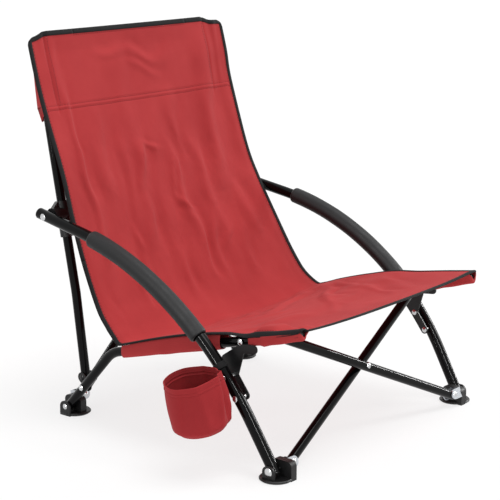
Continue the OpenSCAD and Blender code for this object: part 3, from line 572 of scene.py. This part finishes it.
def bindEnds(name, cols, topKey, frontKey):  # across the top of the back and the front of the seat
    bindEdge(topKey, name + "TopTape", cols, np.zeros(cols.shape), 0, 1)
    bindEdge(frontKey, name + "FrontTape", cols, np.full(cols.shape, clothLength), 0, -1)


for side, sign in sides:
    for part, (first, last) in sideRanges(side, 0, clothLength).items():
        rows = np.linspace(first, last, int((last - first) / 5) + 2)
        name = side.capitalize() + "EdgeTape" + part.capitalize()
        bindEdge((side, part), name, np.full(rows.shape, float(sign * edge)), rows, -sign, 0)
    cols = np.sort(spread(stripEdge, edge, 3.5) * sign)
    bindEnds(side.capitalize(), cols, (side, "upper"), (side, "seat"))
bindEnds("Middle", middleCols, "back", "seat")
print("edge tape")


# Rows of stitches, each stitch a short raised bead of thread. A bead's points are along, across and up, in its
# own length, width and height
stitch = {"pitch": 5.2, "long": 3.4, "wide": 0.55, "high": 0.45, "fromEdge": 9.5, "rowGap": 6, "cupLong": 3.2}
beadRing = [(-0.5, 0, 0), (-0.3, 1, 0.7), (0.3, 1, 0.7), (0.5, 0, 0), (0.3, -1, 0.7), (-0.3, -1, 0.7),
            (-0.3, 0, 1.2), (0.3, 0, 1.2)]
beadFaces = ((0, 1, 6), (1, 2, 7, 6), (2, 3, 7), (3, 4, 7), (4, 5, 6, 7), (5, 0, 6), (0, 5, 4, 3, 2, 1))


def thread(name, beads, long, laid=True):  # beads are middle, direction, normal and distance along the row
    points, faces, uv = [], [], []
    for at, d, n, start in beads:
        s = np.cross(n, d)
        faces += [[len(points) + i for i in f] for f in beadFaces]
        wide, high = s * stitch["wide"], n * stitch["high"]
        points += [at + d * x * long + wide * y + high * z for x, y, z in beadRing]
        uv += [(start + x, y) if laid else (0, 0) for x, y, _ in beadRing]
    return makePiece(name, points, faces, redThread, uv)


stitches = {key: [] for key in panels}


def sew(key, name, a0, b0, a1, b1, count=60):  # a straight row on the sling, read at that many places
    t = np.linspace(0, 1, count)
    a, b = a0 + (a1 - a0) * t, b0 + (b1 - b0) * t
    along = runAlong(clothPoint(a, b))
    beads = []
    for start in np.arange(stitch["pitch"] / 2, along[-1] - stitch["long"] / 2, stitch["pitch"]):
        atA, atB = [np.interp(start + np.array([-1, 0, 1]), along, line) for line in (a, b)]
        q, n = clothPoint(atA, atB), clothNormal(atA[1], atB[1])
        beads.append((q[1] + n * sling["thick"] / 2, unit(q[2] - q[0]), n, start))
    stitches[key].append(rig(thread(name, beads, stitch["long"]), key))


rowEnd, hem = stripEdge - 1, stitch["fromEdge"]
for k, seam in enumerate(seamAlong):
    sew("back", "PocketStitches%d" % k, -rowEnd, seam, rowEnd, seam)
    for side, sign in sides:
        name = side.capitalize() + "PocketStitches%d" % k
        sew((side, "upper"), name, sign * stripEdge, seam, sign * (edge - 9), seam)
for side, sign in sides:
    for k in (0, 1):
        x = sign * (sling["sleeveSeam"][sign] - k * stitch["rowGap"])
        sew((side, "upper"), side.capitalize() + "SleeveStitches%d" % k, x, 9, x, seamAlong[1] - 3)
    for part, (first, last) in sideRanges(side, 12, clothLength - 12).items():
        x = sign * (edge - hem)
        sew((side, part), side.capitalize() + "EdgeStitches" + part.capitalize(), x, first, x, last, 120)
sew("seat", "FrontStitches", -rowEnd, clothLength - hem, rowEnd, clothLength - hem)
sew("back", "TopStitches", -rowEnd, hem, rowEnd, hem)
print("stitching")


# Sleeves: the cloth carries on round the rails and the back tubes. The section is (x, z) from the rail's middle
sleeve = {
    # The first and last heights are the cloth's own underside at those places
    "seatSection": [(8.6, 0), (9.9, 5), (9.5, -4), (5.5, -9.8), (0, -11), (-5.5, -10), (-9.2, -5.5), (-11, 2),
                    (-13.5, 0)],
    "spans": {"left": [(118, 336), (-39, 61)], "right": [(118, 322), (-39, 61)]}, "layer": 0.9, "gap": 1.6,
    "puckerMm": 78, "pucker": 0.45, "tightFrom": 38, "tight": 0.86,
    # Wider over a rivet, as place, reach and share; narrower towards the front, and closed there by smaller
    # rings, as size and mm ahead
    "rivet": (33, 8, 0.13), "taper": (22, -36, 0.2),
    "capRings": ((0.93, 1.0), (0.7, 1.9), (0.35, 2.3), (0.05, 2.4)),
    "backWidth": (202, 248.5), "backDepth": 18.5, "backEnd": 534, "swellHalf": 19, "flatWide": 68,
}


def railMiddle(y):
    (y0, z0), (y1, z1) = sling["railCorner"], sling["railFront"]
    return z0 + (y - y0) * (z1 - z0) / (y1 - y0)


def layered(name, outer, inner, flip, uv):
    points, faces = twoLayers(outer, inner, flip)
    return makePiece(name, points, faces, redPolyester, np.tile(uv, (2, 1)))


def seatSleeve(name, sign, start, end):
    rows = []
    downwards = np.linspace(creaseAlong - 90, clothLength, 200)
    under = [clothPoint(np.full(200, sign * (sling["railX"] + sleeve["seatSection"][k][0])), downwards)
             for k in (0, -1)]
    for y in np.arange(start, end + 1, 4.0):
        section = np.array(sleeve["seatSection"], float)
        for k in (0, -1):
            section[k, 1] = np.interp(-y, -under[k][:, 1], under[k][:, 2]) - railMiddle(y) - sleeve["gap"]
        section = throughPoints(section, np.linspace(0, len(section) - 1, 30))
        turn = np.linspace(0, 1, len(section))
        wave = np.sin(2 * np.pi * y / sleeve["puckerMm"] + 4 * turn + 1.2 * math.sin(y / 19))
        pucker = sleeve["pucker"] * np.sin(np.pi * turn) * wave
        (at, reach, more), (wide, narrow, less) = sleeve["rivet"], sleeve["taper"]
        width = 1 + more * math.exp(-((y - at) / reach) ** 2) - less * smoothRise(wide, narrow, y)
        held = smoothRise(sleeve["tightFrom"] - 6, sleeve["tightFrom"] + 2, y) * (y < 100)
        tight = 1 - (1 - sleeve["tight"]) * held
        free = np.clip(np.minimum(turn, 1 - turn) * 5, 0, 1)[:, None]
        out = section * (1 + pucker[:, None] / 14) * (1 - free * (1 - tight * width))
        x, z = sign * (sling["railX"] + out[:, 0]), railMiddle(y) + out[:, 1]
        rows.append(np.stack([x, np.full(len(section), y), z], axis=1))
    if start < 0:  # sewn shut over the rail's end cap
        heart = rows[0].mean(axis=0)
        mouth = rows[0] - heart
        for size, ahead in sleeve["capRings"]:
            ring = heart + mouth * size
            ring[:, 1] = start - ahead
            rows.insert(0, ring)
    outer = np.array(rows)
    normal = unit(np.cross(np.gradient(outer, axis=0), np.gradient(outer, axis=1))) * sign
    uv = np.stack([np.tile(np.arange(outer.shape[1]) * 2.1, outer.shape[0]), outer[..., 1].ravel()], axis=1)
    piece = layered(name, outer, outer + normal * sleeve["layer"], sign > 0, uv)
    return piece, float(np.linalg.norm(np.diff(outer, axis=1), axis=2).sum(axis=1).mean()), end - start


seatSleeves = []
for side, sign in sides:
    for k, (start, end) in enumerate(sleeve["spans"][side]):
        seatSleeves.append((side, *seatSleeve("%sSeatSleeve%d" % (side.capitalize(), k), sign, start, end)))
        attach(seatSleeves[-1][1], side + "_seat_side")
print("seat sleeves")


def backSleeve(name, side, sign):  # the rear layer, bulging behind the back tube, sewn down at its inner edge
    bs = np.linspace(6, alongAtHeight(sleeve["backEnd"]), 44)
    a, b = np.meshgrid(np.linspace(*sleeve["backWidth"], 22) * sign, bs)
    fromTube = np.abs(a) - sling["backX"]
    swell = ((1 + np.cos(np.pi * np.clip(fromTube / sleeve["swellHalf"], -1, 1))) / 2) ** 0.8
    crease = 0.8 * np.sin(b / 13 + 2 * np.sin(np.abs(a) / 9)) * swell
    p, n = clothPoint(a, b), clothNormal(a, b)
    flat = withoutX(unit(n[..., 1:]))
    # every row bulges at least as far as the tube's rear
    low, high = np.array(sling["backCorner"]), np.array(sling["backTop"])
    rearward = np.array([low[1] - high[1], high[0] - low[0]]) / np.linalg.norm(high - low)
    radius = sling["tubeRadius"] + 2.4
    reach = ((p[..., 1:] - low) * rearward).sum(-1) + np.sqrt(np.maximum(radius ** 2 - fromTube ** 2, 0))
    needed = np.where(np.abs(fromTube) < sling["tubeRadius"] + 2, reach / np.maximum(swell, 0.3), 0)
    slack = sleeve["backDepth"] * (0.55 + 0.45 * smoothRise(0, 20, b))
    depth = np.maximum(slack, needed.max(axis=1, keepdims=True))
    outer = p - flat * (sleeve["gap"] + depth * swell + crease)[..., None]
    uv = np.stack([a.ravel(), b.ravel()], axis=1)
    piece = layered(name, outer, outer + flat * sleeve["layer"], sign > 0, uv)
    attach(piece, side + "_back")
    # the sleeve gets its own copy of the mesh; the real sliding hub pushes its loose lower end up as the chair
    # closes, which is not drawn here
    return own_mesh(piece)


backSleeves = [(side, backSleeve(side.capitalize() + "BackSleeve", side, sign)) for side, sign in sides]
print("back sleeves")


# Cup holder: a soft round pocket that hangs from the left arm and leans outwards, hemmed at its rim
cup = {"rimMiddle": (-329, 105.5, 160), "leanOut": 11, "leanBack": 5, "deep": 86, "radiusLow": 46,
       "radiusRim": 42.3, "tuckedIn": 9, "slack": 1.5, "belly": 3.0, "thick": 1.6, "hemMm": 12, "around": 96,
       "stitchCount": 52,
       # Raised rims and dips along the hem, as mm down, half width, height
       "hemLines": [(1.2, 1.3, 0.7), (8, 0.9, -0.6), (12.8, 0.9, -0.5)], "hemRise": 0.9, "hemRows": (12.8, 8),
       # Upright wrinkles below the arm: place round the cup, slant, width and height
       "wrinkles": [(-0.62, 0.25, 0.09, 5.2), (-0.86, 0.12, 0.08, -4.4), (-1.15, 0.3, 0.11, 4.4),
                    (-1.9, -0.15, 0.18, 3.6), (-2.6, 0.2, 0.15, -2.0), (-0.35, 0.1, 0.09, -4.0),
                    (0.5, 0.2, 0.12, 2.6), (1.4, -0.2, 0.22, 2.0), (2.4, 0.1, 0.22, 2.2)]}
leanOut, leanBack = [math.sin(math.radians(cup[key])) for key in ("leanOut", "leanBack")]
cup["up"] = unit(np.array([-leanOut, leanBack, 0.96]))
cup["toArm"] = unit(np.cross(cup["up"], np.cross((1.0, -0.3, 0), cup["up"])))
cup["ahead"] = np.cross(cup["up"], cup["toArm"])


def cupPoint(turn, down, out=0.0):  # turn 0 is at the arm, down is in mm from the rim
    share = 1 - down / cup["deep"]
    radius = cup["radiusLow"] + (cup["radiusRim"] - cup["radiusLow"]) * share ** 1.5
    radius = radius - cup["tuckedIn"] * smoothRise(0.16, 0, share) ** 2
    turned = (turn + np.pi) % (2 * np.pi) - np.pi
    slack = cup["slack"] * np.sin(2 * turn + 3 * share + 1) * np.sin(np.pi * np.clip(share, 0, 1))
    hung = smoothRise(-0.1, 0.45, share) * smoothRise(1.25, 0.75, share)
    puckers = sum(dip(turned - at - slant * (share - 0.5), height, width) * hung
                  for at, slant, width, height in cup["wrinkles"])
    hem = cup["hemRise"] * smoothRise(cup["hemMm"] + 1, cup["hemMm"] - 0.5, down)
    hem = hem + sum(dip(down - at, height, wide) for at, wide, height in cup["hemLines"])
    r = (radius + slack + puckers + hem + out)[..., None]
    low = (down + 1.5 * np.sin(2 * turn + 1) * share)[..., None]
    spoke = np.cos(turn)[..., None] * cup["toArm"] + np.sin(turn)[..., None] * cup["ahead"]
    return np.array(cup["rimMiddle"]) - cup["up"] * low + r * spoke


def ringFaces(count, around):
    i, k = np.meshgrid(np.arange(count - 1), np.arange(around), indexing="ij")
    m = (k + 1) % around
    quads = [i * around + k, i * around + m, (i + 1) * around + m, (i + 1) * around + k]
    return np.stack(quads, axis=-1).reshape(-1, 4)


def bottomRings(ring, sizes, raised):  # smaller rings within the lowest one, hanging in a shallow bowl
    heart = ring.mean(axis=0)
    return [heart + (ring - heart) * s - cup["up"] * (cup["belly"] * (1 - s ** 2) - raised) for s in sizes]


def cupBody():
    around = cup["around"]
    turns = np.linspace(0, 2 * np.pi, around, endpoint=False)
    hem = [13.6, 12.8, 12, 11, 9.6, 8.6, 8, 7.4, 6.2, 4, 2.6, 1.6, 0.8, 0.2]
    downs = [*np.linspace(cup["deep"], 15, 24), *hem]
    full = np.ones(around)
    outer = [cupPoint(turns, full * d) for d in downs]
    rim = cupPoint(turns, full * -0.3, -cup["thick"] / 2)
    inner = [rim] + [cupPoint(turns, full * d, -cup["thick"]) for d in downs[::-1]]
    sizes = (0.1, 0.4, 0.7, 0.9)
    rings = bottomRings(outer[0], sizes, 0) + outer + inner + bottomRings(inner[-1], sizes[::-1], 1.2)
    top, end = (len(rings) - 1) * around, len(rings) * around
    faces = [*ringFaces(len(rings), around), range(around)[::-1], range(top, end)]
    along = runAlong(np.array([ring[0] for ring in rings]))
    uv = np.stack([np.tile(turns * 43, len(rings)), np.repeat(along, around)], axis=1)
    # the cup wears the darker copy of the cloth, its colour painted shade
    return makePiece("CupHolder", rings, faces, shadedCupPolyester, uv)


def cupStitches(name, down):
    beads = []
    for k in range(cup["stitchCount"]):
        turn = 2 * math.pi * k / cup["stitchCount"]
        q = cupPoint(turn + np.array([-0.035, 0, 0.035]), np.full(3, down), 0.1)
        d = unit(q[2] - q[0])
        beads.append((q[1], d, unit(np.cross(d, -cup["up"])), 0))
    return thread(name, beads, stitch["cupLong"], laid=False)


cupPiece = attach(cupBody(), "left_arm")
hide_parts("cup_holder")
cupThread = [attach(cupStitches("CupHemStitches%d" % k, down), "left_arm")
             for k, down in enumerate(cup["hemRows"])]
print("cup holder")


# The arm tube's bend: an arc in a plane that leans outwards about the line from the foot to the hub
arm = {"start": (39.08, 82.35), "radius": 526, "legAngle": 59.5, "chordAngle": 34.05, "lean": 7.5,
       "halfWidth": 260}


def across(angle):  # the direction square to a slope of that angle
    return np.stack([-np.sin(angle), np.cos(angle)], axis=-1)


def armPoint(angle, sign, off=0.0):  # angle is the tube's slope there, off is outwards in the arm's plane
    square, lean = across(math.radians(arm["chordAngle"])), math.radians(arm["lean"])
    p = np.array(arm["start"]) + (arm["radius"] + off) * across(np.radians(angle))
    p = p - arm["radius"] * across(math.radians(arm["legAngle"]))
    up = (p @ square)[..., None]
    p = p - (1 - math.cos(lean)) * up * square
    return np.concatenate([sign * (arm["halfWidth"] + math.sin(lean) * up), p], axis=-1)


def armRings(angles, radii, sign, around, along=None):  # rings round the arm tube, and each point's turn
    middle = armPoint(angles, sign)
    out = unit(armPoint(angles, sign, 5.0) - middle)
    side = np.cross(unit(np.gradient(middle, axis=0)) if along is None else along, out)
    turns = np.linspace(0, 2 * np.pi, around, endpoint=False)
    wheel = np.cos(turns)[None, :, None] * out[:, None] + np.sin(turns)[None, :, None] * side[:, None]
    return middle[:, None] + wheel * np.asarray(radii)[..., None], turns


# Foam grip: a padded sleeve pushed over the bend, soft at its ends, with slight dents from handling
grip = {"from": 42, "to": 12.5, "outer": 14.5, "inner": 11.2, "lip": 0.6, "endRound": 4.0, "dent": 0.14,
        "around": 32}


def gripPiece(name, sign):
    ends = np.array([0, 0.1, 0.35, 0.8, 1.6, 2.8, 4.2])
    arc = arm["radius"] * math.radians(grip["from"] - grip["to"])
    run = np.concatenate([ends, np.linspace(7, arc - 7, 56), arc - ends[::-1]])
    angles = grip["from"] - np.degrees(run / arm["radius"])
    near = np.minimum(run, arc - run)
    rounded = np.sqrt(np.clip(1 - (1 - np.clip(near / grip["endRound"], 0, 1)) ** 2, 0, 1))
    low = grip["inner"] + grip["lip"]
    radius = low + (grip["outer"] - low) * rounded
    turns = np.linspace(0, 2 * np.pi, grip["around"], endpoint=False)
    dents = np.sin(run[:, None] / 19 + 2 * turns) * np.sin(run[:, None] / 31 + 1) * rounded[:, None]
    outer, turns = armRings(angles, radius[:, None] + grip["dent"] * dents, sign, grip["around"])
    inner, turns = armRings(angles[[0, -1]], np.full((2, grip["around"]), grip["inner"]), sign, grip["around"])
    # the bore's two end rings lie straight across from the foam's ends
    rings = np.concatenate([inner[:1], outer, inner[1:]])
    along = np.repeat([0, *run, arc], grip["around"])
    uv = np.stack([np.tile(turns * grip["outer"], len(rings)), along], axis=1)
    return makePiece(name, rings, ringFaces(len(rings), grip["around"]), foamSkin, uv)


for side, sign in sides:
    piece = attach(gripPiece(side.capitalize() + "FoamGrip", sign), side + "_arm")
    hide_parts("arm_grip_" + side)
print("foam grips")


# Webbing loop of the cup holder round the left arm tube. Its section is (place across the band, height)
loopBand = {"angle": 48.4, "wide": 10, "inner": 11.1, "thick": 0.9, "around": 40,
            "section": [(-1, 0), (-1, 0.6), (-0.94, 0.9), (-0.5, 0.9), (0, 0.9), (0.5, 0.9), (0.94, 0.9),
                        (1, 0.6), (1, 0)]}


def loopPiece():
    acrossBand, height = np.array(loopBand["section"]).T
    angle, around, halfWide = loopBand["angle"], loopBand["around"], loopBand["wide"] / 2
    behind, ahead = armPoint(np.array([angle - 1.0, angle + 1.0]), -1)
    angles = angle + acrossBand * math.degrees(halfWide / arm["radius"])
    rings, turns = armRings(angles, loopBand["inner"] + height[:, None], -1, around, unit(ahead - behind))
    faces = ringFaces(len(rings) + 1, around) % (len(rings) * around)  # the last ring joins the first
    high = loopBand["inner"] + loopBand["thick"]
    uv = np.stack([np.tile(turns * high, len(rings)), np.repeat(acrossBand * halfWide, around)], axis=1)
    return makePiece("CupLoop", rings, faces, blackTape, uv)


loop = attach(loopPiece(), "left_arm")
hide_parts("cup_strap")
# Plain pale floor, as wide as any view sees. It glows a little, as a light table does, so shadows stay faint
floorLook = {"name": "paleStudioFloor", "colour": "#7A7A7A", "pale": "#7C7C7C", "half": 40000, "rough": 0.9,
             "specular": 0.1, "speckMm": 900, "glow": 0.77}
glowing = {"Roughness": floorLook["rough"], "Specular IOR Level": floorLook["specular"],
           "Emission Color": linear("#FFFFFF"), "Emission Strength": floorLook["glow"]}
material, tree, shader = startMaterial(floorLook["name"], glowing)
speck = mottle(tree, overObject(tree), floorLook["speckMm"], 2.0)
pale = mixColours(tree, speck, floorLook["colour"], floorLook["pale"])
tree.links.new(pale, shader.inputs["Base Color"])
half = floorLook["half"]
corners = [(-half, -half, 0), (half, -half, 0), (half, half, 0), (-half, half, 0)]
makePiece("StudioFloor", corners, [(0, 1, 2, 3)], material)

# Soft studio light: a white surround, one broad light overhead, a weaker one from the right and narrow strips
# that draw the lines on the tubes. A sun is direction, strength, angle; a strip is place, size, power
studio = {"surround": 0.56, "suns": [((0.10, -0.22, 1.0), 1.9, 38), ((0.95, -0.55, 0.55), 0.6, 16)],
          "strips": [((-1250, -2650, 1500), (110, 2200), 70), ((-2750, 100, 1500), (110, 2000), 52),
                     ((2300, -700, 1100), (60, 1700), 36), ((200, 2300, 1700), (1400, 60), 14)],
          "sunAway": 3000, "target": (0, 250, 300)}
world = bpy.data.worlds.new("studioSurround")
world.use_nodes = True
tree = world.node_tree
tree.nodes.clear()
ray = addNode(tree, "ShaderNodeLightPath").outputs
seen = ray["Is Camera Ray"]
for other in ("Is Glossy Ray", "Is Transmission Ray"):
    seen = addNode(tree, "ShaderNodeMath", {"operation": "ADD", "use_clamp": True}, {0: seen, 1: ray[other]})
    seen = seen.outputs["Value"]
soft, white = [addNode(tree, "ShaderNodeBackground", inputs={"Color": linear("#FFFFFF"), "Strength": strength})
               for strength in (studio["surround"], 1.0)]
both = addNode(tree, "ShaderNodeMixShader", inputs={0: seen, 1: soft.outputs["Background"],
                                                    2: white.outputs["Background"]})
addNode(tree, "ShaderNodeOutputWorld", inputs={"Surface": both.outputs["Shader"]})
bpy.context.scene.world = world


def addLight(name, kind, at, target, energy):
    light = bpy.data.lights.new(name, kind)
    light.energy = energy
    thing = bpy.data.objects.new(name, light)
    thing.location = place(at)
    thing.rotation_euler = (Vector(place(target)) - thing.location).to_track_quat("-Z", "Y").to_euler()
    bpy.context.scene.collection.objects.link(thing)
    return thing


for k, (source, strength, angle) in enumerate(studio["suns"]):
    sun = addLight("Sun%d" % k, "SUN", np.array(source) * studio["sunAway"], (0, 0, 0), strength)
    sun.data.angle = math.radians(angle)
for k, (at, (wide, high), energy) in enumerate(studio["strips"]):
    strip = addLight("StripBox%d" % k, "AREA", at, studio["target"], energy)
    strip.data.shape, strip.data.size, strip.data.size_y = "RECTANGLE", wide / 1000, high / 1000
    strip.visible_diffuse = False  # the strips only draw highlights

# The camera stands ahead of the chair's left arm, a little above it
view = {"at": (-1950.41, -1364.82, 833.85), "turn": 50.1235, "down": 12.2725, "lens": 107.989, "sensor": 36,
        "clipEnd": 200}
lens = bpy.data.cameras.new("MainCamera")
lens.lens, lens.sensor_width, lens.clip_end = view["lens"], view["sensor"], view["clipEnd"]
camera = bpy.data.objects.new("MainCamera", lens)
camera.location = place(view["at"])
camera.rotation_euler = (math.radians(90 - view["down"]), 0, math.radians(-view["turn"]))
bpy.context.scene.collection.objects.link(camera)
bpy.context.scene.camera = camera
bpy.context.scene.view_settings.view_transform = "Standard"
print("floor, light and camera")
